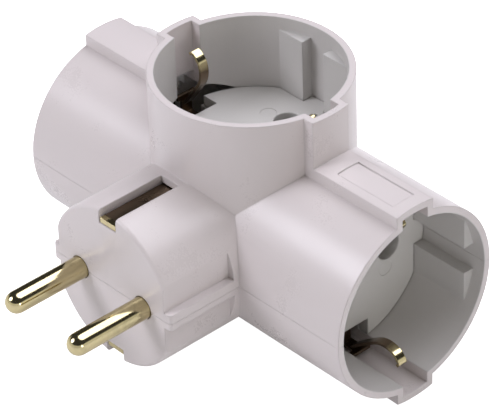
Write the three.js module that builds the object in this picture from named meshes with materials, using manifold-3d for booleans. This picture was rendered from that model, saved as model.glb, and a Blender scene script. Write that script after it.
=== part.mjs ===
// Triple socket adapter: an earthed two-pin plug that carries three sockets, two along X and one along Z.
// Millimetres. The origin is the centre of the plug face, midway between the pins. +Y runs from the plug
// face into the adapter, +X to the right socket and +Z out of the top socket.
import * as THREE from 'three';
import { mergeVertices } from 'three/addons/utils/BufferGeometryUtils.js';
import Module from 'manifold-3d';

// Barrels: three tubes whose axes cross at one point, straight behind the plug face
const RECESS_RADIUS = 19.55;
const BARREL_WALL = 1.5;
const SIDE_REACH = 46.4; // crossing of the axes to the rim of a side socket
const TOP_REACH = 33.9; // crossing of the axes to the rim of the top socket
const SOCKET_DEPTH = 17.2; // rim to the front of the contact plate

// Earth channels: two grooves in each recess, which show outside as raised bands
const CHANNEL_WIDTH = 6.8;
const CHANNEL_DEPTH = 2.45;
const CHANNEL_WALL = 1.5;

// Bare panel, sunk in the band on top of the right barrel
const PANEL_LENGTH = 15.6;
const PANEL_WIDTH = 5.8;
const PANEL_DEPTH = 0.3;
const PANEL_SETBACK = 3.1; // rim to the panel

// Guide ribs: four chord-shaped blocks in each recess, in two pairs with a gap between them
const RIB_HEIGHT = 2.75; // recess wall to the flat of a rib
const RIB_GAP = 6.2;
const RIB_SETBACK = 3.0; // rim to the end of a rib

// Contact plates, and the ledge behind each
const PLATE_THICKNESS = 2.5;
const PLATE_CLEARANCE = 0.2;
const LEDGE_WIDTH = 2.15;
const LEDGE_THICKNESS = 1.5;
const HOLE_RADIUS = 3.0;
const HOLE_FLARE = 0.15;
const NOTCH_WIDTH = 7.0;
const NOTCH_DEPTH = 4.55; // recess wall to the inner edge of an earth notch
const MARK_RADIUS = 1.75; // shallow round ejector marks
const MARK_DEPTH = 0.12;
const MARK_ACROSS = 4.9;
const MARK_ALONG = 8.6;
const VENT_RADIUS = 0.5; // small hole near the edge of the top plate
const VENT_ACROSS = 2.55;
const VENT_ALONG = 14.9;

// Plug head
const PLUG_RADIUS = 17.9;
const PLUG_LENGTH = 39.2; // plug face to the crossing of the barrel axes
const PLUG_EDGE = 0.8; // rounding of the rim of the face
const FACE_THICKNESS = 3.5;
const PLUG_WALL = 1.6; // between the earth slots and the cavity
const CAVITY_WIDTH = 26.4; // sides of the cavity, for the bars' arms
const CAVITY_HEIGHT = 18.4;
const FLAT_DISTANCE = 16.0; // plug axis to the flats on its sides
const FLAT_MARGIN = 1.05; // end of a flat to the side barrels
const KEY_TOP = 2.0; // rib along the middle of each side, above and below the parting plane
const KEY_BOTTOM = -1.65;
const SLOT_WIDTH = 5.1;
const SLOT_FLOOR = 14.6; // plug axis to the floor of an earth slot
const SLOT_MARGIN = 1.65; // end of a slot to the side barrels

// Pins
const PIN_SPACING = 19.0;
const PIN_RADIUS = 2.4;
const PIN_LENGTH = 19.0;
const PIN_FIT = 0.12;
const COLLAR_RADIUS = 3.0;
const COLLAR_LENGTH = 2.0;
const BULKHEAD_THICKNESS = 2.0;
const PIN_SETBACK = 17.5; // shoulder that a bar tab seats on to the crossing of the axes
const SPIGOT_RADIUS = 1.5;
const RIVET_RADIUS = 2.2;
const RIVET_LENGTH = 0.8;

// Brass inside: bars, contacts and earth bows
const SEAT_GAP = 0.3; // between pieces that rest on each other
const BAR_THICKNESS = 1.0;
const BAR_WIDTH = 5.0;
const BAR_SETBACK = 0.5; // end of a bar to the ledge's back
const LIVE_LEVEL = -5.0; // top of the live bar
const NEUTRAL_LEVEL = -7.0; // top of the neutral bar
const EARTH_LEVEL = -11.2; // top of the earth bar
const EARTH_WIDTH = 4.0;
const TAB_TOP = 3.4;
const LEAF_THICKNESS = 0.6;
const LEAF_WAIST = 2.45; // contact axis to the narrowest part of a leaf
const LEAF_OPEN = 2.9; // contact axis to a leaf at its root and mouth
const LEAF_TOP = 3.0; // how far the leaves of a side contact rise past the pin's axis
const SIDE_CONTACT_SETBACK = 0.9; // end of a side contact to the ledge's back
const SIDE_CONTACT_LENGTH = 12.0;
const TOP_CONTACT_CLEARANCE = 2.0; // below the top plate
const CONTACT_WIDTH = 4.0;
const BOW_THICKNESS = 0.7;
const BOW_WIDTH = 2.6;
const BOW_OFFSET = 1.05; // recess wall to the middle of a bow's upright
const SHOULDER_WIDTH = 4.8;
const SHOULDER_DEPTH = 15.4; // rim to the shoulder where the clip narrows
const SHOULDER_HEIGHT = 1.2;
const CLIP_WIDTH = 2.1;
const CLIP_THICKNESS = 0.65;
// Middle line of a clip, as distance from the recess wall and depth below the rim
const CLIP_LINE = [
  [0.75, 17.6],
  [-1.2, 15.2],
  [-3.0, 12.6],
  [-4.5, 10.2],
  [-5.0, 8.0],
  [-4.7, 6.0],
  [-3.8, 4.6],
  [-2.6, 3.8],
  [-1.9, 4.3],
];
const PLUG_STRIP_THICKNESS = 1.2;
const PLUG_STRIP_WIDTH = 4.6;
const PLUG_STRIP_START = 0.15;

// Screws that close the two shells
const SCREW_ACROSS = 17.0;
const SCREW_INSET = 3.0; // recess wall to a screw's axis
const BOSS_RADIUS = 2.5;
const FOOT_WALL = 1.0; // plastic round the well of a screw head
const FOOT_HEIGHT = 1.2; // plastic under a screw head
const GUSSET_THICKNESS = 1.4; // web from a boss to the wall behind it
const SCREW_RADIUS = 1.3;
const SCREW_LENGTH = 14.0;
const SCREW_HOLE_DEPTH = 7.0; // above the parting plane
const HEAD_RADIUS = 2.2;
const HEAD_HEIGHT = 1.8;
const HEAD_SEAT = 9.5; // parting plane to the shoulder under a head
const DRIVE_WIDTH = 0.9;
const DRIVE_LENGTH = 2.8;
const DRIVE_DEPTH = 1.1;
const CRADLE_ACROSS = 14.5; // two walls in the lower shell that carry the bars
const CRADLE_THICKNESS = 1.4;
const CRADLE_HALF_LENGTH = 15.0;

// Facets round a full circle
const BARREL_FACETS = 72;
const PIN_FACETS = 36;
const HOLE_FACETS = 24;
const EDGE_FACETS = 4;
const CLIP_STEPS = 18;

// Worked out from the sizes above
const BARREL_RADIUS = RECESS_RADIUS + BARREL_WALL;
const CHANNEL_RADIUS = RECESS_RADIUS + CHANNEL_DEPTH;
const BAND_RADIUS = CHANNEL_RADIUS + CHANNEL_WALL;
const BAND_WIDTH = CHANNEL_WIDTH + 2 * CHANNEL_WALL;
const LEDGE_RADIUS = RECESS_RADIUS - LEDGE_WIDTH;
const RIB_FACE = RECESS_RADIUS - RIB_HEIGHT;
const NOTCH_INNER = RECESS_RADIUS - NOTCH_DEPTH;
const BOW_RADIUS = RECESS_RADIUS + BOW_OFFSET;
const SCREW_ALONG = RECESS_RADIUS - SCREW_INSET;
const WELL_RADIUS = HEAD_RADIUS + SEAT_GAP;
const FLAT_LENGTH = PLUG_LENGTH - BARREL_RADIUS - FLAT_MARGIN;
const SLOT_LENGTH = PLUG_LENGTH - BARREL_RADIUS - SLOT_MARGIN;
const SHANK_END = PLUG_LENGTH - PIN_SETBACK;
const CAVITY_RADIUS = SLOT_FLOOR - PLUG_WALL;
const PIN_OFFSET = PIN_SPACING / 2;
const PLATE_BACK = SOCKET_DEPTH + PLATE_THICKNESS; // depth below the rim
const LEDGE_FRONT = PLATE_BACK + SEAT_GAP;
const LEDGE_BACK = LEDGE_FRONT + LEDGE_THICKNESS;
const BAR_REACH = SIDE_REACH - LEDGE_BACK - BAR_SETBACK;
const WALL_ROOT = BARREL_WALL / 2; // how deep the ribs and ledges are rooted in the wall
const STRIP_TOP = SLOT_FLOOR + SEAT_GAP / 3 + PLUG_STRIP_THICKNESS;
const WEB_FRONT = SLOT_LENGTH + SEAT_GAP;
const WEB_BACK = WEB_FRONT + PLUG_STRIP_THICKNESS;
const BEYOND = 2; // how far a cut runs past the face it opens

const wasm = await Module();
wasm.setup();

const plastic = new THREE.MeshStandardMaterial({ color: 0xd3cdcb, roughness: 0.42, metalness: 0 });
const platePlastic = new THREE.MeshStandardMaterial({ color: 0xc9c5c2, roughness: 0.45, metalness: 0 });
const brass = new THREE.MeshStandardMaterial({ color: 0xb9a468, roughness: 0.24, metalness: 1 });
const steel = new THREE.MeshStandardMaterial({ color: 0x9a9c9e, roughness: 0.35, metalness: 1 });

// Solids

function solid(geometry, matrix) {
  const bare = geometry.clone();
  bare.deleteAttribute('normal');
  bare.deleteAttribute('uv');
  if (matrix) bare.applyMatrix4(matrix);
  const merged = mergeVertices(bare, 1e-5);
  const vertProperties = new Float32Array(merged.attributes.position.array);
  const triVerts = new Uint32Array(merged.index.array);
  return new wasm.Manifold(new wasm.Mesh({ numProp: 3, vertProperties, triVerts }));
}

function geometryOf(manifold) {
  const mesh = manifold.getMesh();
  const geometry = new THREE.BufferGeometry();
  geometry.setAttribute('position', new THREE.BufferAttribute(new Float32Array(mesh.vertProperties), 3));
  geometry.setIndex(new THREE.BufferAttribute(new Uint32Array(mesh.triVerts), 1));
  geometry.computeVertexNormals();
  return geometry;
}

const join = (solids) => solids.reduce((whole, piece) => whole.add(piece));
const cut = (body, tools) => tools.reduce((left, tool) => left.subtract(tool), body);

// A box between two corners
function box(low, high) {
  const size = high.map((value, axis) => value - low[axis]);
  const middle = high.map((value, axis) => (value + low[axis]) / 2);
  return new THREE.BoxGeometry(...size).translate(...middle);
}

// A round rod along Z, from one height to another
function rodZ(radius, from, to, facets) {
  const rod = new THREE.CylinderGeometry(radius, radius, to - from, facets);
  return rod.rotateX(Math.PI / 2).translate(0, 0, (from + to) / 2);
}

// A round rod along Y
function rodY(radius, from, to, facets) {
  const rod = new THREE.CylinderGeometry(radius, radius, to - from, facets);
  return rod.translate(0, (from + to) / 2, 0);
}

// A flat outline in X and Y, raised along Z between two heights
function slabZ(shape, from, to) {
  const depth = to - from;
  return new THREE.ExtrudeGeometry(shape, { depth, bevelEnabled: false }).translate(0, 0, from);
}

// A flat outline in X and Z, given a width along Y about the middle
function slabY(shape, width) {
  const slab = new THREE.ExtrudeGeometry(shape, { depth: width, bevelEnabled: false });
  return slab.rotateX(Math.PI / 2).translate(0, width / 2, 0);
}

function outline(points) {
  return new THREE.Shape(points.map(([x, y]) => new THREE.Vector2(x, y)));
}

// A strip of even thickness along a curve
function ribbon(curve, thickness, steps) {
  const near = [];
  const far = [];
  for (let step = 0; step <= steps; step += 1) {
    const point = curve.getPoint(step / steps);
    const tangent = curve.getTangent(step / steps);
    const side = new THREE.Vector2(-tangent.y, tangent.x).multiplyScalar(thickness / 2);
    near.push(point.clone().add(side));
    far.push(point.clone().sub(side));
  }
  return new THREE.Shape([...near, ...far.reverse()]);
}

// Points on a circle between two angles
function arc(radius, from, to, steps) {
  const points = [];
  for (let step = 0; step <= steps; step += 1) {
    const angle = from + ((to - from) * step) / steps;
    points.push([radius * Math.cos(angle), radius * Math.sin(angle)]);
  }
  return points;
}

// The band across a circle that lies within half a width of the X axis
function bandShape(radius, width) {
  const lean = Math.asin(width / 2 / radius);
  return outline([...arc(radius, -lean, lean, 6), ...arc(radius, Math.PI - lean, Math.PI + lean, 6)]);
}

// The part of a circle past a chord that is square to the Y axis
function chordShape(radius, chord) {
  const lean = Math.asin(chord / radius);
  return outline(arc(radius, lean, Math.PI - lean, 16));
}

// The two halves of a shape that lies on one side, turned about Z to both sides
function bothSides(geometry) {
  return join([solid(geometry), solid(geometry, new THREE.Matrix4().makeRotationZ(Math.PI))]);
}

// Sockets: each has a frame whose +Z is the way its plug comes out, with the pins along Y

const SOCKETS = [
  { name: 'top', reach: TOP_REACH, turn: 0, root: 0 },
  { name: 'right', reach: SIDE_REACH, turn: Math.PI / 2, root: -1 },
  { name: 'left', reach: SIDE_REACH, turn: -Math.PI / 2, root: -1 },
];

function frameOf(socket) {
  const place = new THREE.Matrix4().makeTranslation(0, PLUG_LENGTH, 0);
  return place.multiply(new THREE.Matrix4().makeRotationY(socket.turn));
}

function placed(manifold, matrix) {
  return solid(geometryOf(manifold), matrix);
}

// Tube and raised bands of a barrel, before it is hollowed
function barrelOuter(socket) {
  const tube = solid(rodZ(BARREL_RADIUS, socket.root, socket.reach, BARREL_FACETS));
  const bands = solid(slabZ(bandShape(BAND_RADIUS, BAND_WIDTH), socket.root, socket.reach));
  return placed(tube.add(bands), frameOf(socket));
}

// Hollow of a barrel, with its earth channels
function barrelHollow(socket) {
  const end = socket.reach + BEYOND;
  const bore = solid(rodZ(RECESS_RADIUS, socket.root, end, BARREL_FACETS));
  const channels = solid(slabZ(bandShape(CHANNEL_RADIUS, CHANNEL_WIDTH), socket.root, end));
  return placed(bore.add(channels), frameOf(socket));
}

// Ledge and guide ribs of a barrel
function barrelFittings(socket) {
  const back = socket.reach - LEDGE_BACK;
  const front = socket.reach - LEDGE_FRONT;
  const rooted = RECESS_RADIUS + WALL_ROOT;
  const disc = solid(rodZ(rooted, back, front, BARREL_FACETS));
  const opening = solid(rodZ(LEDGE_RADIUS, back - 1, front + 1, BARREL_FACETS));
  const half = CHANNEL_WIDTH / 2;
  const passage = solid(box([-BARREL_RADIUS, -half, back - 1], [BARREL_RADIUS, half, front + 1]));
  const ledge = cut(disc, [opening, passage]);
  const ribs = bothSides(slabZ(chordShape(rooted, RIB_FACE), back, socket.reach - RIB_SETBACK));
  const gap = solid(box([-RIB_GAP / 2, -BARREL_RADIUS, front], [RIB_GAP / 2, BARREL_RADIUS, socket.reach]));
  return placed(ledge.add(ribs.subtract(gap)), frameOf(socket));
}

// Plug head: a round block with a rounded face edge, flats with a key rib, and slots for the earth strips

function plugOuter() {
  const corner = PLUG_RADIUS - PLUG_EDGE;
  const edge = arc(PLUG_EDGE, -Math.PI / 2, 0, EDGE_FACETS).map(([r, y]) => [corner + r, PLUG_EDGE + y]);
  const profile = [[0, 0], ...edge, [PLUG_RADIUS, PLUG_LENGTH], [0, PLUG_LENGTH]];
  const points = profile.map(([r, y]) => new THREE.Vector2(r, y));
  const head = solid(new THREE.LatheGeometry(points, BARREL_FACETS));
  const cuts = [];
  for (const side of [-1, 1]) {
    for (const level of [-1, 1]) {
      const xs = [side * FLAT_DISTANCE, side * (PLUG_RADIUS + 1)].sort((a, b) => a - b);
      const zs = [level > 0 ? KEY_TOP : KEY_BOTTOM, level * PLUG_RADIUS].sort((a, b) => a - b);
      cuts.push(solid(box([xs[0], -1, zs[0]], [xs[1], FLAT_LENGTH, zs[1]])));
    }
  }
  return cut(head, cuts);
}

function plugSlots() {
  const half = SLOT_WIDTH / 2;
  const slots = [];
  for (const level of [-1, 1]) {
    const floor = [level * SLOT_FLOOR, level * (PLUG_RADIUS + 1)].sort((a, b) => a - b);
    const passage = [level * (CAVITY_RADIUS - 1), level * (STRIP_TOP + SEAT_GAP)].sort((a, b) => a - b);
    slots.push(solid(box([-half, -1, floor[0]], [half, SLOT_LENGTH, floor[1]])));
    slots.push(solid(box([-half, SLOT_LENGTH - 0.5, passage[0]], [half, WEB_BACK + SEAT_GAP, passage[1]])));
  }
  return slots;
}

function pinBores() {
  const bore = rodY(PIN_RADIUS + PIN_FIT, -1, SHANK_END, PIN_FACETS);
  return [-PIN_OFFSET, PIN_OFFSET].map((x) => solid(bore, new THREE.Matrix4().makeTranslation(x, 0, 0)));
}

// The cavity's form, from one distance behind the face to another
function cavity(from, to, growth) {
  const x = CAVITY_WIDTH / 2 + growth;
  const z = CAVITY_HEIGHT / 2 + growth;
  const round = solid(rodY(CAVITY_RADIUS + growth, from, to, BARREL_FACETS));
  return round.add(solid(box([-x, from, -z], [x, to, z])));
}

// A wall behind the pin collars, so that a pin can move neither way
function bulkhead() {
  const front = FACE_THICKNESS + COLLAR_LENGTH + 2 * SEAT_GAP;
  return cavity(front, front + BULKHEAD_THICKNESS, PLUG_WALL / 2);
}

// Tool that sinks the bare panel into the right barrel's top band
function panelCut() {
  const right = SOCKETS.find((socket) => socket.name === 'right');
  const end = right.reach - PANEL_SETBACK;
  const half = PANEL_WIDTH / 2;
  const block = solid(box([-BAND_RADIUS - 1, -half, end - PANEL_LENGTH], [-CHANNEL_RADIUS, half, end]));
  const floor = solid(rodZ(BAND_RADIUS - PANEL_DEPTH, end - PANEL_LENGTH - 1, end + 1, 2 * BARREL_FACETS));
  return placed(block.subtract(floor), frameOf(right));
}

// Walls that stand in the lower shell, stepped to the undersides of the three bars
function cradles() {
  const bottom = -BARREL_RADIUS;
  const live = LIVE_LEVEL - BAR_THICKNESS - SEAT_GAP;
  const neutral = NEUTRAL_LEVEL - BAR_THICKNESS - SEAT_GAP;
  const earth = EARTH_LEVEL - BAR_THICKNESS - SEAT_GAP;
  const step = EARTH_WIDTH / 2 + 1;
  const low = PLUG_LENGTH - CRADLE_HALF_LENGTH;
  const high = PLUG_LENGTH + CRADLE_HALF_LENGTH;
  const walls = [];
  for (const side of [-1, 1]) {
    const x0 = side * CRADLE_ACROSS - CRADLE_THICKNESS / 2;
    const x1 = x0 + CRADLE_THICKNESS;
    walls.push(solid(box([x0, low, bottom], [x1, PLUG_LENGTH - step, live])));
    walls.push(solid(box([x0, PLUG_LENGTH - step - 1, bottom], [x1, PLUG_LENGTH + step + 1, earth])));
    walls.push(solid(box([x0, PLUG_LENGTH + step, bottom], [x1, high, neutral])));
  }
  return join(walls);
}

// Screws, in a row behind the side sockets, and the bosses that they run in

const SCREW_PLACES = [-SCREW_ACROSS, 0, SCREW_ACROSS].map((x) => [x, PLUG_LENGTH + SCREW_ALONG]);

const atScrews = (geometry) =>
  SCREW_PLACES.map(([x, y]) => solid(geometry, new THREE.Matrix4().makeTranslation(x, y, 0)));

function bosses() {
  const posts = atScrews(rodZ(BOSS_RADIUS, -BARREL_RADIUS, SCREW_HOLE_DEPTH + 2, HOLE_FACETS));
  const foot = rodZ(WELL_RADIUS + FOOT_WALL, -BARREL_RADIUS, -HEAD_SEAT + FOOT_HEIGHT, HOLE_FACETS);
  const half = GUSSET_THICKNESS / 2;
  const gusset = box([-half, 0, 0], [half, SCREW_INSET + WALL_ROOT, SCREW_HOLE_DEPTH + 2]);
  return join([...posts, ...atScrews(foot), ...atScrews(gusset)]);
}

function screwBores() {
  const bore = rodZ(SCREW_RADIUS + SEAT_GAP, -BARREL_RADIUS, SCREW_HOLE_DEPTH, HOLE_FACETS);
  const well = rodZ(WELL_RADIUS, -BARREL_RADIUS - 1, -HEAD_SEAT, HOLE_FACETS);
  return [...atScrews(bore), ...atScrews(well)];
}

function screwGeometry() {
  const seat = -HEAD_SEAT - SEAT_GAP;
  const profile = [
    [0, seat - HEAD_HEIGHT],
    [HEAD_RADIUS - 0.5, seat - HEAD_HEIGHT],
    [HEAD_RADIUS, seat - HEAD_HEIGHT + 0.5],
    [HEAD_RADIUS, seat],
    [SCREW_RADIUS, seat],
    [SCREW_RADIUS, seat + SCREW_LENGTH - SCREW_RADIUS],
    [0, seat + SCREW_LENGTH],
  ];
  const turned = new THREE.LatheGeometry(profile.map(([r, z]) => new THREE.Vector2(r, z)), HOLE_FACETS);
  const body = solid(turned.rotateX(Math.PI / 2));
  const low = seat - HEAD_HEIGHT - 1;
  const high = seat - HEAD_HEIGHT + DRIVE_DEPTH;
  const long = DRIVE_LENGTH / 2;
  const short = DRIVE_WIDTH / 2;
  const slotX = solid(box([-long, -short, low], [long, short, high]));
  const slotY = solid(box([-short, -long, low], [short, long, high]));
  return geometryOf(cut(body, [slotX, slotY]));
}

// The two shells, which part on the plane of the pins

function shells() {
  const outer = join([...SOCKETS.map(barrelOuter), plugOuter()]);
  const hollow = cut(outer, [...SOCKETS.map(barrelHollow), cavity(FACE_THICKNESS, PLUG_LENGTH, 0)]);
  const inner = join([...SOCKETS.map(barrelFittings), bosses(), bulkhead(), cradles()]);
  const whole = hollow.add(inner.intersect(outer));
  const finished = cut(whole, [...plugSlots(), ...pinBores(), ...screwBores(), panelCut()]);
  const span = SIDE_REACH + BEYOND;
  const deep = PLUG_LENGTH + BAND_RADIUS + BEYOND;
  const above = solid(box([-span, -BEYOND, 0], [span, deep, TOP_REACH + BEYOND]));
  const below = solid(box([-span, -BEYOND, -BAND_RADIUS - BEYOND], [span, deep, 0]));
  return { upper: finished.intersect(above), lower: finished.intersect(below) };
}

// Contact plate: drops in past the ribs and sits on the ledge

function plateGeometry(reach, hasVent) {
  const back = reach - PLATE_BACK;
  const front = reach - SOCKET_DEPTH;
  const radius = RECESS_RADIUS - PLATE_CLEARANCE;
  const disc = solid(rodZ(radius, back, front, BARREL_FACETS));
  const low = back - 1;
  const high = front + 1;
  const cuts = [];
  for (const side of [-1, 1]) {
    const notch = [side * NOTCH_INNER, side * (RECESS_RADIUS + 1)].sort((a, b) => a - b);
    cuts.push(solid(box([notch[0], -NOTCH_WIDTH / 2, low], [notch[1], NOTCH_WIDTH / 2, high])));
    for (const end of [-1, 1]) {
      const tab = RIB_GAP / 2 - PLATE_CLEARANCE;
      const xs = [side * tab, side * RECESS_RADIUS].sort((a, b) => a - b);
      const ys = [end * (RIB_FACE - PLATE_CLEARANCE), end * (RECESS_RADIUS + 1)].sort((a, b) => a - b);
      cuts.push(solid(box([xs[0], ys[0], low], [xs[1], ys[1], high])));
      const mark = rodZ(MARK_RADIUS, front - MARK_DEPTH, high, HOLE_FACETS);
      cuts.push(solid(mark, new THREE.Matrix4().makeTranslation(side * MARK_ACROSS, end * MARK_ALONG, 0)));
    }
    const mouth = HOLE_RADIUS + 2 * HOLE_FLARE;
    const flare = new THREE.CylinderGeometry(mouth, HOLE_RADIUS, 2 * HOLE_FLARE, HOLE_FACETS);
    const toHole = new THREE.Matrix4().makeTranslation(0, side * PIN_OFFSET, 0);
    cuts.push(solid(rodZ(HOLE_RADIUS, low, high, HOLE_FACETS), toHole));
    cuts.push(solid(flare.rotateX(Math.PI / 2).translate(0, 0, front), toHole));
  }
  if (hasVent) {
    const toVent = new THREE.Matrix4().makeTranslation(VENT_ACROSS, VENT_ALONG, 0);
    cuts.push(solid(rodZ(VENT_RADIUS, low, high, HOLE_FACETS / 2), toVent));
  }
  return geometryOf(cut(disc, cuts));
}

// Earth bow: one strip behind the plate, with an upright and a sprung clip at each end

function bowGeometry(reach) {
  const back = reach - LEDGE_FRONT - BOW_THICKNESS;
  const web = reach - LEDGE_FRONT;
  const outer = BOW_RADIUS + BOW_THICKNESS / 2;
  const inner = BOW_RADIUS - BOW_THICKNESS / 2;
  const shoulder = reach - SHOULDER_DEPTH;
  const strip = outline([
    [-outer, back], [outer, back], [outer, shoulder], [inner, shoulder],
    [inner, web], [-inner, web], [-inner, shoulder], [-outer, shoulder],
  ]);
  const points = CLIP_LINE.map(([out, depth]) => new THREE.Vector2(RECESS_RADIUS + out, reach - depth));
  const clip = slabY(ribbon(new THREE.SplineCurve(points), CLIP_THICKNESS, CLIP_STEPS), CLIP_WIDTH);
  const half = SHOULDER_WIDTH / 2;
  const wing = box([inner, -half, shoulder - SHOULDER_HEIGHT], [outer, half, shoulder]);
  return geometryOf(join([solid(slabY(strip, BOW_WIDTH)), bothSides(wing), bothSides(clip)]));
}

// One leaf pair of a contact in X and Z: a flat base at height zero and two leaves that nip in at a waist
function contactShape(height, waist) {
  const wall = LEAF_THICKNESS;
  const side = (x) => [
    [x + wall, height], [LEAF_WAIST + wall, waist], [x + wall, waist / 2],
  ];
  const right = side(LEAF_OPEN);
  const inside = [[LEAF_OPEN, waist / 2], [LEAF_WAIST, waist], [LEAF_OPEN, height]];
  const mirror = (points) => points.map(([x, z]) => [-x, z]).reverse();
  const base = [[LEAF_OPEN + wall, 0]];
  const floor = [[LEAF_OPEN, wall]];
  const rightSide = [...base, ...right.slice().reverse(), ...inside.slice().reverse(), ...floor];
  return outline([...rightSide, ...mirror(rightSide)]);
}

// Side contact, in its socket's frame: a channel along the pin, standing on a bar at local X
function sideContactGeometry(level, towards) {
  const height = LEAF_TOP - level - SEAT_GAP;
  const end = SIDE_REACH - LEDGE_BACK - SIDE_CONTACT_SETBACK;
  const channel = slabZ(contactShape(height, -level - SEAT_GAP), end - SIDE_CONTACT_LENGTH, end);
  const rise = level + SEAT_GAP;
  return channel.rotateZ(towards * (Math.PI / 2)).translate(-towards * rise, 0, 0);
}

// Top contact: a fork that stands on its bar, below the top plate
function topContactGeometry(level) {
  const foot = level + SEAT_GAP;
  const height = TOP_REACH - PLATE_BACK - TOP_CONTACT_CLEARANCE - foot;
  return slabY(contactShape(height, height * 0.75), CONTACT_WIDTH).translate(0, 0, foot);
}

// Bar across the adapter with an arm forward to its pin
function barGeometry(y, level, pinX) {
  const low = level - BAR_THICKNESS;
  const half = BAR_WIDTH / 2;
  const tabFront = SHANK_END + SEAT_GAP;
  const tabBack = tabFront + BAR_THICKNESS;
  const strip = solid(box([-BAR_REACH, y - half, low], [BAR_REACH, y + half, level]));
  const arm = solid(box([pinX - half, tabFront, low], [pinX + half, y, level]));
  const tab = solid(box([pinX - half, tabFront, low], [pinX + half, tabBack, TAB_TOP]));
  const hole = solid(rodY(SPIGOT_RADIUS + PIN_FIT, tabFront - 1, tabBack + 1, HOLE_FACETS));
  const atPin = placed(hole, new THREE.Matrix4().makeTranslation(pinX, 0, 0));
  return geometryOf(join([strip, arm, tab]).subtract(atPin));
}

// Earth bar: a strip along X with an upright to each bow, and a tail forward to the plug's earth strip
function earthBarGeometry() {
  const low = EARTH_LEVEL - BAR_THICKNESS;
  const half = EARTH_WIDTH / 2;
  const sideBow = SIDE_REACH - LEDGE_FRONT - BOW_THICKNESS - SEAT_GAP;
  const topBow = TOP_REACH - LEDGE_FRONT - BOW_THICKNESS - SEAT_GAP;
  const near = PLUG_LENGTH - half;
  const far = PLUG_LENGTH + half;
  const tailFront = WEB_BACK + SEAT_GAP;
  const pieces = [
    box([-sideBow, near, low], [sideBow, far, EARTH_LEVEL]),
    box([-sideBow, near, low], [-sideBow + BAR_THICKNESS, far, TAB_TOP]),
    box([sideBow - BAR_THICKNESS, near, low], [sideBow, far, TAB_TOP]),
    box([-BAR_THICKNESS / 2, near, low], [BAR_THICKNESS / 2, far, topBow]),
    box([-half, tailFront, low], [half, far, EARTH_LEVEL]),
    box([-half, tailFront, low], [half, tailFront + BAR_THICKNESS, LIVE_LEVEL]),
  ];
  return geometryOf(join(pieces.map((piece) => solid(piece))));
}

// Plug earth bow: two strips in the slots of the plug, joined behind them by a web
function plugBowGeometry() {
  const inside = STRIP_TOP - PLUG_STRIP_THICKNESS;
  const shape = outline([
    [PLUG_STRIP_START, -STRIP_TOP], [WEB_BACK, -STRIP_TOP],
    [WEB_BACK, STRIP_TOP], [PLUG_STRIP_START, STRIP_TOP],
    [PLUG_STRIP_START, inside], [WEB_FRONT, inside],
    [WEB_FRONT, -inside], [PLUG_STRIP_START, -inside],
  ]);
  const bow = slabY(shape, PLUG_STRIP_WIDTH);
  return bow.rotateZ(Math.PI / 2);
}

// Pin, turned about its own axis
function pinGeometry() {
  const collarStart = FACE_THICKNESS + SEAT_GAP;
  const collarEnd = collarStart + COLLAR_LENGTH;
  const tip = arc(PIN_RADIUS, -Math.PI / 2, 0, 7).map(([r, y]) => [r, y - PIN_LENGTH + PIN_RADIUS]);
  const headStart = SHANK_END + BAR_THICKNESS + 2 * SEAT_GAP;
  const profile = [
    ...tip,
    [PIN_RADIUS, collarStart],
    [COLLAR_RADIUS, collarStart],
    [COLLAR_RADIUS, collarEnd],
    [PIN_RADIUS, collarEnd],
    [PIN_RADIUS, SHANK_END],
    [SPIGOT_RADIUS, SHANK_END],
    [SPIGOT_RADIUS, headStart],
    [RIVET_RADIUS, headStart],
    [RIVET_RADIUS, headStart + RIVET_LENGTH],
    [0, headStart + RIVET_LENGTH],
  ];
  profile[0][0] = 0;
  return new THREE.LatheGeometry(profile.map(([r, y]) => new THREE.Vector2(r, y)), PIN_FACETS);
}

// Assembly

const adapter = new THREE.Group();

function addPiece(group, name, geometry, material) {
  const mesh = new THREE.Mesh(geometry, material);
  mesh.name = name;
  group.add(mesh);
  return mesh;
}

const { upper, lower } = shells();
addPiece(adapter, 'upper_shell', geometryOf(upper), plastic);
addPiece(adapter, 'lower_shell', geometryOf(lower), plastic);

const POLES = [
  { name: 'live', along: -PIN_OFFSET, level: LIVE_LEVEL, pinX: -PIN_OFFSET },
  { name: 'neutral', along: PIN_OFFSET, level: NEUTRAL_LEVEL, pinX: PIN_OFFSET },
];

for (const pole of POLES) {
  const bar = barGeometry(PLUG_LENGTH + pole.along, pole.level, pole.pinX);
  addPiece(adapter, `${pole.name}_pin`, pinGeometry(), brass).position.x = pole.pinX;
  addPiece(adapter, `${pole.name}_bar`, bar, brass);
}

for (const socket of SOCKETS) {
  const group = new THREE.Group();
  group.position.y = PLUG_LENGTH;
  group.rotation.y = socket.turn;
  adapter.add(group);
  const plate = plateGeometry(socket.reach, socket.name === 'top');
  addPiece(group, `${socket.name}_socket_plate`, plate, platePlastic);
  addPiece(group, `${socket.name}_earth_bow`, bowGeometry(socket.reach), brass);
  for (const pole of POLES) {
    const geometry = socket.turn === 0
      ? topContactGeometry(pole.level)
      : sideContactGeometry(pole.level, Math.sign(socket.turn));
    addPiece(group, `${socket.name}_${pole.name}_contact`, geometry, brass).position.y = pole.along;
  }
}

addPiece(adapter, 'earth_bar', earthBarGeometry(), brass);
addPiece(adapter, 'plug_earth_bow', plugBowGeometry(), brass);

SCREW_PLACES.forEach(([x, y], index) => {
  const screw = addPiece(adapter, `shell_screw_${index + 1}`, screwGeometry(), steel);
  screw.position.set(x, y, 0);
});

export default adapter;
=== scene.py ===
"""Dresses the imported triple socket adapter: smooth shells, turned pins, moulded plastic and brass."""

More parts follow.
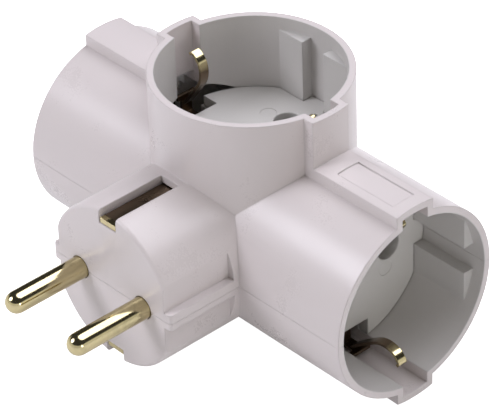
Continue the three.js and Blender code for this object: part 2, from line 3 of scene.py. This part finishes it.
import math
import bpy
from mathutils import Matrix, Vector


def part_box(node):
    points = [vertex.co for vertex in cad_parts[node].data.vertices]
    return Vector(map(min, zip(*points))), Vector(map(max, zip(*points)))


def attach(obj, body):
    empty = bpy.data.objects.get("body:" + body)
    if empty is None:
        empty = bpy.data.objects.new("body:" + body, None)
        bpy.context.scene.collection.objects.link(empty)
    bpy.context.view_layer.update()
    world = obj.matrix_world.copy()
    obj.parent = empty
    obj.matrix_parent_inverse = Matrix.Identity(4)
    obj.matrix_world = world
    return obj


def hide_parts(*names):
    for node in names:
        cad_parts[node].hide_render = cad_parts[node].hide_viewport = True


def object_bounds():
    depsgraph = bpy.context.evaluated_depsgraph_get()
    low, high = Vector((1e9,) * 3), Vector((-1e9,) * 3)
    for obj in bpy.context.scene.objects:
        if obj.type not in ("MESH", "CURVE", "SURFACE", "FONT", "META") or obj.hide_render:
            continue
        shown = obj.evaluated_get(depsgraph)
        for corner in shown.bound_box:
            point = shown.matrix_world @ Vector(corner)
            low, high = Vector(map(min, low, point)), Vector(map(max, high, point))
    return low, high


bl_info = {
    "name": "Triple socket adapter",
    "version": (1, 0, 0),
    "blender": (4, 5, 0),
    "location": "View3D > Sidebar > Adapter",
    "description": "Builds the looks of a triple socket adapter round its packed model",
    "category": "Object",
}

import bpy
from mathutils import Euler, Vector

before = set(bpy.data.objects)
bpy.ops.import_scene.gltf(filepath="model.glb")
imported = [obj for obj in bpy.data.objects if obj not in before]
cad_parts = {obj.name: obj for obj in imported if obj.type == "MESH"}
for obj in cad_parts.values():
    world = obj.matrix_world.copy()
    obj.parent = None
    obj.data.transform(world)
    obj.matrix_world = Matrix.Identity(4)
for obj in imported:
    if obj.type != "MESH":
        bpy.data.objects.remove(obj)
CAD_BOX = [list(corner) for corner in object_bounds()]
MM = 0.001
RECESS = 19.55 * MM
CROSSING = sum(corner[1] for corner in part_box("top_socket_plate")) / 2
# Painted shade: the shells are painted darker inside the recesses, where shade falls.
SHADE_EDGE_BLUR = 0.4 * MM  # over which the painted recess shade meets the rim's colour
TOP_SHADE_DEPTH = 10.0 * MM  # from the crossing, where the painted recess shade begins
SIDE_SHADE_DEPTH = 22.0 * MM
SHADE_DEPTH_BLUR = 4.0 * MM
WEAR_AND_SHADE_BLUR = 2.0 * MM  # over which rubbed, lit brass turns into the painted shade
BRASS_PAINTED_SHADE = (0.17, 0.125, 0.085)  # painted shade: the dark brown of brass deep in the recesses and the slot
COOL_LIGHT = (0.985, 0.98, 1.07)
WARM_LIGHT = (1.0, 0.98, 0.93)
ROOM_LIGHT = (1.0, 0.985, 0.94)
BRIGHT_SIDE = (0.78, -0.62, 0.0)  # away from the room's dark corner
DIM_ROOM = 0.05  # strength of the room's dark places in gloss
WHITE = (1.0, 1.0, 1.0)
BLACK = (0.0, 0.0, 0.0)
GLOSS_FLOOR = 0.15  # shine added to the lit floor where metal reflects it

SOCKETS = ("top", "right", "left")
POLES = ("live", "neutral")
SCREWS = tuple(f"shell_screw_{number}" for number in (1, 2, 3))


# Shader maths

class Field:
    """One output of a node, with arithmetic that adds Math nodes."""

    def __init__(self, finish, socket):
        self.finish = finish
        self.socket = socket

    def math(self, operation, *others):
        return self.finish.add("ShaderNodeMath", {"operation": operation}, [self, *others])

    def __add__(self, other):
        return self.math("ADD", other)

    __radd__ = __add__

    def __sub__(self, other):
        return self.math("SUBTRACT", other)

    def __rsub__(self, other):
        return self.finish.add("ShaderNodeMath", {"operation": "SUBTRACT"}, [other, self])

    def __mul__(self, other):
        return self.math("MULTIPLY", other)

    __rmul__ = __mul__

    def above(self, limit, softness):
        """0 below the limit, 1 past it, with a soft step between."""
        settings = {"interpolation_type": "SMOOTHSTEP"}
        values = {"Value": self, "From Min": limit, "From Max": limit + softness}
        return self.finish.add("ShaderNodeMapRange", settings, values)


class Finish:
    """A material under construction, with its Principled shader."""

    def __init__(self, name, color, roughness, metallic=0.0):
        self.material = bpy.data.materials.new(name)
        self.material.use_nodes = True
        self.tree = self.material.node_tree
        self.tree.nodes.clear()
        self.shader = self.tree.nodes.new("ShaderNodeBsdfPrincipled")
        output = self.tree.nodes.new("ShaderNodeOutputMaterial")
        self.tree.links.new(self.shader.outputs["BSDF"], output.inputs["Surface"])
        self.set("Base Color", (*color, 1.0))
        self.set("Roughness", roughness)
        self.set("Metallic", metallic)
        self.place = self.add("ShaderNodeTexCoord", {}, {}, "Object")

    def add(self, kind, settings, values, output=0):
        """Adds a node: its settings first, then its sockets by name or by order."""
        node = self.tree.nodes.new(kind)
        for key, value in settings.items():
            setattr(node, key, value)
        pairs = values.items() if isinstance(values, dict) else enumerate(values)
        for key, value in pairs:
            if isinstance(value, Field):
                self.tree.links.new(value.socket, node.inputs[key])
            else:
                node.inputs[key].default_value = value
        return Field(self, node.outputs[output])

    def set(self, socket, value):
        if isinstance(value, Field):
            self.tree.links.new(value.socket, self.shader.inputs[socket])
        else:
            self.shader.inputs[socket].default_value = value

    def axes(self):
        """Object coordinates as three numbers: across, along and up."""
        split = self.add("ShaderNodeSeparateXYZ", {}, [self.place])
        return [Field(self, split.socket.node.outputs[part]) for part in "XYZ"]

    def stretched(self, scale, turn=(0.0, 0.0, 0.0)):
        """Object coordinates, stretched and turned."""
        values = {"Vector": self.place, "Rotation": turn, "Scale": scale}
        return self.add("ShaderNodeMapping", {}, values)

    def noise(self, scale, detail=2.0, roughness=0.5, place=None, distortion=0.0):
        values = {"Vector": place or self.place, "Scale": scale, "Detail": detail}
        values["Roughness"] = roughness
        values["Distortion"] = distortion
        return self.add("ShaderNodeTexNoise", {"noise_dimensions": "3D"}, values, "Fac")

    def blend(self, amount, first, second):
        """Mixes two colours by an amount."""
        node = self.tree.nodes.new("ShaderNodeMix")
        node.data_type = "RGBA"
        factor, low, high = node.inputs[0], node.inputs[6], node.inputs[7]
        self.tree.links.new(amount.socket, factor)
        for socket, value in ((low, first), (high, second)):
            if isinstance(value, Field):
                self.tree.links.new(value.socket, socket)
            else:
                socket.default_value = (*value, 1.0)
        return Field(self, node.outputs[2])

    def round_off(self, radius):
        """Normals that read as if every edge were rounded."""
        node = self.tree.nodes.new("ShaderNodeBevel")
        node.samples = 6
        node.inputs["Radius"].default_value = radius
        return Field(self, node.outputs["Normal"])

    def bump(self, height, distance, strength=1.0, normal=None):
        values = {"Height": height, "Distance": distance, "Strength": strength}
        if normal is not None:
            values["Normal"] = normal
        self.set("Normal", self.add("ShaderNodeBump", {}, values))


def moulded_plastic(name, color, painted_recess_shade, edge):
    """Pale moulded plastic with flow lines, a faint mottle and a fine sparked grain, painted darker
    inside the recesses as painted shade.
    """
    plastic = Finish(name, color, 0.3)
    across, along, up = plastic.axes()
    along = along - CROSSING
    upright = (across * across + along * along).math("SQRT")
    level = (along * along + up * up).math("SQRT")
    wall = RECESS - SHADE_EDGE_BLUR / 4
    # painted shade: a mask of the recess insides, deeper than the rim
    top_recess_shade = (1.0 - upright.above(wall, SHADE_EDGE_BLUR)) * up.above(TOP_SHADE_DEPTH, SHADE_DEPTH_BLUR)
    reach = across.math("ABSOLUTE")
    side_recess_shade = (1.0 - level.above(wall, SHADE_EDGE_BLUR)) * reach.above(SIDE_SHADE_DEPTH, SHADE_DEPTH_BLUR)
    painted_shade_inside = top_recess_shade.math("MAXIMUM", side_recess_shade)
    mottle = plastic.noise(90.0, 3.0, 0.55)
    flow = plastic.noise(55.0, 3.0, 0.5, plastic.stretched((0.25, 2.2, 0.4), (0.0, 0.35, 0.2)), 1.2)
    warm = tuple(channel * factor for channel, factor in zip(color, (0.985, 0.975, 0.97)))
    cool = tuple(min(1.0, channel * factor) for channel, factor in zip(color, (1.005, 1.0, 1.012)))
    streaks = plastic.blend(mottle * 0.8 + 0.1, warm, cool)
    skin = plastic.blend((flow - 0.5) * 0.6 + 0.3, streaks, color)
    # painted shade: the recess insides take the darker recess colour
    plastic.set("Base Color", plastic.blend(painted_shade_inside, skin, painted_recess_shade))
    grain = plastic.noise(2600.0, 2.0, 0.6)
    plastic.set("Roughness", mottle * 0.10 + 0.22 + grain * 0.04 + painted_shade_inside * 0.12)
    ripple = plastic.noise(160.0, 2.0, 0.5) * 0.6 + grain * 0.16 + flow * 0.8
    plastic.bump(ripple, 0.00006, 0.6, plastic.round_off(edge))
    plastic.set("IOR", 1.49)
    return plastic.material


def polished_brass(name, color, wear, lit_wear=None):
    """Yellow brass with fine draw lines and a little tarnish, painted dark brown as painted shade away
    from its rubbed, lit places.
    """
    brass = Finish(name, color, 0.12, 1.0)
    tarnish = brass.noise(220.0, 4.0, 0.6)
    lines = brass.noise(900.0, 2.0, 0.5, brass.stretched((1.0, 0.06, 1.0)))
    dull = tuple(channel * wear for channel in color)
    skin = brass.blend(tarnish.above(0.50, 0.25), color, dull)
    roughness = tarnish * 0.10 + lines * 0.08 + 0.04
    # painted shade: away from the rubbed, lit places the brass is painted dark brown
    if lit_wear:
        rubbed_and_lit = lit_wear(*brass.axes())
        skin = brass.blend(rubbed_and_lit, BRASS_PAINTED_SHADE, skin)
        roughness = roughness + (1.0 - rubbed_and_lit) * 0.16
    brass.set("Base Color", skin)
    brass.set("Roughness", roughness)
    brass.bump(lines * 0.5 + tarnish * 0.5, 0.00002, 0.25, brass.round_off(0.00015))
    return brass.material


def turned_steel(name, color):
    """Plated steel with a fine turned grain."""
    steel = Finish(name, color, 0.35, 1.0)
    grain = steel.noise(1500.0, 3.0, 0.6)
    steel.set("Roughness", grain * 0.2 + 0.25)
    steel.set("Base Color", steel.blend(grain, color, tuple(channel * 0.85 for channel in color)))
    steel.bump(grain, 0.00002, 0.3, steel.round_off(0.00015))
    return steel.material


# Modelling steps

def deselect_all():
    if bpy.context.object and bpy.context.object.mode != "OBJECT":
        bpy.ops.object.mode_set(mode="OBJECT")
    bpy.ops.object.select_all(action="DESELECT")


def select_only(piece):
    deselect_all()
    piece.select_set(True)
    bpy.context.view_layer.objects.active = piece


def smooth_copy(node, name, angle=28.0):
    """A merged copy of a CAD node, smooth over its curves and sharp at its edges."""
    select_only(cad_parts[node])
    bpy.ops.object.duplicate()
    piece = bpy.context.object
    piece.name = name
    piece.parent = None
    for key in list(piece.keys()):
        del piece[key]
    bpy.ops.object.mode_set(mode="EDIT")
    bpy.ops.mesh.select_all(action="SELECT")
    bpy.ops.mesh.remove_doubles(threshold=2e-6)
    bpy.ops.mesh.dissolve_degenerate(threshold=1e-6)
    bpy.ops.object.mode_set(mode="OBJECT")
    bpy.ops.mesh.customdata_custom_splitnormals_clear()
    bpy.ops.object.shade_smooth_by_angle(angle=math.radians(angle))
    return piece


def dress(piece, material, node):
    """Gives a piece its material and its place on the body, and hides the node it stands for."""
    piece.data.materials.clear()
    piece.data.materials.append(material)
    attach(piece, "root")
    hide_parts(node)


# Sizes and colours

class AdapterFinish(bpy.types.PropertyGroup):
    shell_color: bpy.props.FloatVectorProperty(
        name="Shell colour", description="Colour of the moulded shells", subtype="COLOR",
        min=0.0, max=1.0, default=(0.67, 0.62, 0.61))
    plate_color: bpy.props.FloatVectorProperty(
        name="Plate colour", description="Colour of the contact plates", subtype="COLOR",
        min=0.0, max=1.0, default=(0.66, 0.645, 0.62))
    # Painted shade: the darker colour painted on the shells inside the recesses.
    recess_shade_color: bpy.props.FloatVectorProperty(
        name="Recess colour", description="Colour of the shells inside the recesses", subtype="COLOR",
        min=0.0, max=1.0, default=(0.585, 0.57, 0.55))
    brass_color: bpy.props.FloatVectorProperty(
        name="Brass colour", description="Colour of the pins and clips", subtype="COLOR",
        min=0.0, max=1.0, default=(0.56, 0.485, 0.275))
    steel_color: bpy.props.FloatVectorProperty(
        name="Screw colour", description="Colour of the closing screws", subtype="COLOR",
        min=0.0, max=1.0, default=(0.52, 0.52, 0.53))
    edge_radius: bpy.props.FloatProperty(
        name="Edge radius", description="How round the moulded edges look", subtype="DISTANCE",
        unit="LENGTH", default=0.4 * MM)


class AdapterStage(bpy.types.PropertyGroup):
    key_power: bpy.props.FloatProperty(
        name="Key light", description="Power of the light at the upper left", default=5.2, min=0.0)
    top_power: bpy.props.FloatProperty(
        name="Top light", description="Power of the wide light above the back", default=8.6, min=0.0)
    side_power: bpy.props.FloatProperty(
        name="Side light", description="Power of the light off the right socket", default=1.3, min=0.0)
    world_level: bpy.props.FloatProperty(
        name="Surround", description="Level of the plain surround", default=0.22, min=0.0)
    lens: bpy.props.FloatProperty(
        name="Lens", description="Focal length on a 36 mm sensor", default=246.561, unit="CAMERA")


class ADAPTER_OT_stage(bpy.types.Operator):
    """Set the camera, the floor and the lights"""
    bl_idname = "adapter.stage"
    bl_label = "Stage"

    def execute(self, context):
        stage = context.scene.adapter_stage
        self.set_camera(context, stage)
        self.lay_floor()
        self.light("Key", (-0.45, -0.63, 0.63), 0.50, stage.key_power, COOL_LIGHT)
        self.light("Top", (0.09, 0.50, 0.865), 1.00, stage.top_power, COOL_LIGHT)
        self.light("Side", (1.00, -0.10, 0.15), 0.30, stage.side_power, WARM_LIGHT)
        self.set_world(context, stage)
        return {"FINISHED"}

    def set_camera(self, context, stage):
        place = Vector((425.309, -337.281, 406.316)) * MM
        turn = Euler([math.radians(angle) for angle in (54.38612571, 1.67524169, 47.44890062)])
        bpy.ops.object.camera_add(location=place, rotation=turn)
        camera = context.object
        camera.name = "Camera"
        camera.data.lens = stage.lens
        camera.data.sensor_width = 36.0
        camera.data.clip_start = 0.01
        camera.data.clip_end = 20.0
        context.scene.camera = camera

    def lay_floor(self):
        low = CAD_BOX[0][2]
        deselect_all()
        bpy.ops.mesh.primitive_plane_add(size=6.0, location=(0.0, 0.0, low))
        floor = bpy.context.object
        floor.name = "floor"
        select_only(floor)
        bpy.ops.object.transform_apply(location=True, rotation=False, scale=True)
        paper = Finish("pale_floor", (0.86, 0.86, 0.86), 0.9)
        rays = paper.tree.nodes.new("ShaderNodeLightPath")
        seen = Field(paper, rays.outputs["Is Camera Ray"])
        glossy = Field(paper, rays.outputs["Is Glossy Ray"])
        through = Field(paper, rays.outputs["Is Transmission Ray"])
        shown = seen + through + glossy * GLOSS_FLOOR
        paper.set("Emission Color", paper.blend(shown, BLACK, WHITE))
        paper.set("Emission Strength", 1.0)
        floor.data.materials.append(paper.material)

    def light(self, name, place, size, power, color):
        aim = Vector((0.0, 0.03, 0.0)) - Vector(place)
        turn = aim.to_track_quat("-Z", "Y").to_euler()
        bpy.ops.object.light_add(type="AREA", location=place, rotation=turn)
        lamp = bpy.context.object
        lamp.name = name
        lamp.data.shape = "DISK"
        lamp.data.size = size
        lamp.data.energy = power
        lamp.data.color = color

    def set_world(self, context, stage):
        """A white backdrop, a plain surround, and for gloss pale walls under a dark ceiling."""
        world = bpy.data.worlds.new("surround")
        context.scene.world = world
        world.use_nodes = True
        tree = world.node_tree
        tree.nodes.clear()
        rays = tree.nodes.new("ShaderNodeLightPath")
        backdrop, surround, mirror = (tree.nodes.new("ShaderNodeBackground") for _ in range(3))
        for node, color in ((backdrop, WHITE), (surround, ROOM_LIGHT), (mirror, WHITE)):
            node.inputs["Color"].default_value = (*color, 1.0)
        backdrop.inputs["Strength"].default_value = 1.0
        surround.inputs["Strength"].default_value = stage.world_level
        tree.links.new(self.room_level(tree), mirror.inputs["Strength"])
        gloss = self.mix(tree, rays.outputs["Is Glossy Ray"], surround, mirror)
        seen = self.mix(tree, rays.outputs["Is Camera Ray"], gloss, backdrop)
        output = tree.nodes.new("ShaderNodeOutputWorld")
        tree.links.new(seen.outputs[0], output.inputs["Surface"])

    def room_level(self, tree):
        """The strength of the room that gloss shows: pale low walls, dark at the back left."""
        aim = tree.nodes.new("ShaderNodeTexCoord").outputs["Generated"]
        split = tree.nodes.new("ShaderNodeSeparateXYZ")
        toward = tree.nodes.new("ShaderNodeVectorMath")
        toward.operation = "DOT_PRODUCT"
        toward.inputs[1].default_value = BRIGHT_SIDE
        for node in (split, toward):
            tree.links.new(aim, node.inputs[0])
        walls = tree.nodes.new("ShaderNodeMath")
        walls.operation = "MULTIPLY"
        low_walls = {"From Min": 0.26, "From Max": 0.36, "To Min": 0.85, "To Max": 0.0}
        dark_corner = {"From Min": -0.85, "From Max": -0.70, "To Min": 0.0, "To Max": 1.0}
        bands = ((split.outputs["Z"], low_walls), (toward.outputs["Value"], dark_corner))
        for number, (source, limits) in enumerate(bands):
            band = tree.nodes.new("ShaderNodeMapRange")
            band.interpolation_type = "SMOOTHSTEP"
            tree.links.new(source, band.inputs["Value"])
            for socket, value in limits.items():
                band.inputs[socket].default_value = value
            tree.links.new(band.outputs[0], walls.inputs[number])
        room = tree.nodes.new("ShaderNodeMath")
        room.inputs[1].default_value = DIM_ROOM
        tree.links.new(walls.outputs[0], room.inputs[0])
        return room.outputs[0]

    def mix(self, tree, factor, first, second):
        """A Mix Shader between two nodes' first outputs."""
        node = tree.nodes.new("ShaderNodeMixShader")
        tree.links.new(factor, node.inputs[0])
        tree.links.new(first.outputs[0], node.inputs[1])
        tree.links.new(second.outputs[0], node.inputs[2])
        return node


class ADAPTER_OT_shells(bpy.types.Operator):
    """Smooth the two moulded shells and give them their plastic"""
    bl_idname = "adapter.shells"
    bl_label = "Shells"

    def execute(self, context):
        looks = context.scene.adapter_finish
        # painted shade colour for the recess insides
        painted_recess_shade = tuple(looks.recess_shade_color)
        plastic = moulded_plastic("shell_plastic", tuple(looks.shell_color), painted_recess_shade, looks.edge_radius)
        for node in ("upper_shell", "lower_shell"):
            piece = smooth_copy(node, f"{node}_moulded")
            dress(piece, plastic, node)
        return {"FINISHED"}


class ADAPTER_OT_plates(bpy.types.Operator):
    """Smooth the contact plates and give them their plastic"""
    bl_idname = "adapter.plates"
    bl_label = "Contact plates"

    def execute(self, context):
        looks = context.scene.adapter_finish
        color = tuple(looks.plate_color)
        plastic = moulded_plastic("plate_plastic", color, color, looks.edge_radius * 0.6)
        for socket in SOCKETS:
            node = f"{socket}_socket_plate"
            piece = smooth_copy(node, f"{node}_moulded")
            dress(piece, plastic, node)
        return {"FINISHED"}


class ADAPTER_OT_brass(bpy.types.Operator):
    """Smooth the pins and clips, and give them, the bars and the inner contacts their brass"""
    bl_idname = "adapter.brass"
    bl_label = "Brass"

    def execute(self, context):
        looks = context.scene.adapter_finish
        color = tuple(looks.brass_color)
        brass = polished_brass("pin_brass", color, 0.72)
        for pole in POLES:
            piece = smooth_copy(f"{pole}_pin", f"{pole}_pin_polished")
            dress(piece, brass, f"{pole}_pin")
        for node, lit_wear in self.rubbed_and_lit_places():
            piece = smooth_copy(node, f"{node}_polished")
            dress(piece, polished_brass(f"{node}_brass", color, 0.8, lit_wear), node)
        # painted shade: the brass inside the body is a darker copy of the pin brass
        painted_shade_inside = polished_brass("shaded_inner_brass", tuple(0.9 * part for part in looks.brass_color), 0.8)
        hidden = [f"{pole}_bar" for pole in POLES] + ["earth_bar"]
        hidden += [f"{socket}_{pole}_contact" for socket in SOCKETS for pole in POLES]
        for node in hidden:
            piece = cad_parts[node]
            piece.data.materials.clear()
            piece.data.materials.append(painted_shade_inside)
        return {"FINISHED"}

    def rubbed_and_lit_places(self):
        """Each clip with a mask of its part nearest the opening, rubbed bright by a plug and lit; the
        rest takes painted shade.
        """
        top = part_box("top_earth_bow")[1][2] - 4.2 * MM
        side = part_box("right_earth_bow")[1][0] - 4.2 * MM
        lip = 1.0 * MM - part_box("plug_earth_bow")[0][1]
        yield "top_earth_bow", lambda across, along, up: up.above(top, WEAR_AND_SHADE_BLUR)
        for node in ("right_earth_bow", "left_earth_bow"):
            yield node, lambda across, along, up: across.math("ABSOLUTE").above(side, WEAR_AND_SHADE_BLUR)
        yield "plug_earth_bow", lambda across, along, up: (along * -1.0).above(lip - 2.4 * MM, 0.5 * MM)


class ADAPTER_OT_screws(bpy.types.Operator):
    """Smooth the closing screws and give them their steel"""
    bl_idname = "adapter.screws"
    bl_label = "Closing screws"

    def execute(self, context):
        looks = context.scene.adapter_finish
        steel = turned_steel("screw_steel", tuple(looks.steel_color))
        for node in SCREWS:
            piece = smooth_copy(node, f"{node}_turned")
            dress(piece, steel, node)
        return {"FINISHED"}


OPERATORS = (
    ADAPTER_OT_stage,
    ADAPTER_OT_shells,
    ADAPTER_OT_plates,
    ADAPTER_OT_brass,
    ADAPTER_OT_screws,
)


class ADAPTER_PT_panel(bpy.types.Panel):
    """Lists the steps that dress the adapter"""
    bl_idname = "ADAPTER_PT_panel"
    bl_label = "Triple socket adapter"
    bl_space_type = "VIEW_3D"
    bl_region_type = "UI"
    bl_category = "Adapter"

    def draw(self, context):
        for group in (context.scene.adapter_finish, context.scene.adapter_stage):
            for name in group.bl_rna.properties.keys():
                if name not in {"rna_type", "name"}:
                    self.layout.prop(group, name)
        for operator in OPERATORS:
            self.layout.operator(operator.bl_idname)


CLASSES = (AdapterFinish, AdapterStage, *OPERATORS, ADAPTER_PT_panel)


def register():
    for entry in CLASSES:
        bpy.utils.register_class(entry)
    bpy.types.Scene.adapter_finish = bpy.props.PointerProperty(type=AdapterFinish)
    bpy.types.Scene.adapter_stage = bpy.props.PointerProperty(type=AdapterStage)


def unregister():
    del bpy.types.Scene.adapter_stage
    del bpy.types.Scene.adapter_finish
    for entry in reversed(CLASSES):
        bpy.utils.unregister_class(entry)


def main():
    register()
    bpy.context.scene.view_settings.view_transform = "Standard"
    bpy.ops.adapter.shells()
    bpy.ops.adapter.plates()
    bpy.ops.adapter.brass()
    bpy.ops.adapter.screws()
    bpy.ops.adapter.stage()


if __name__ == "__main__":
    main()
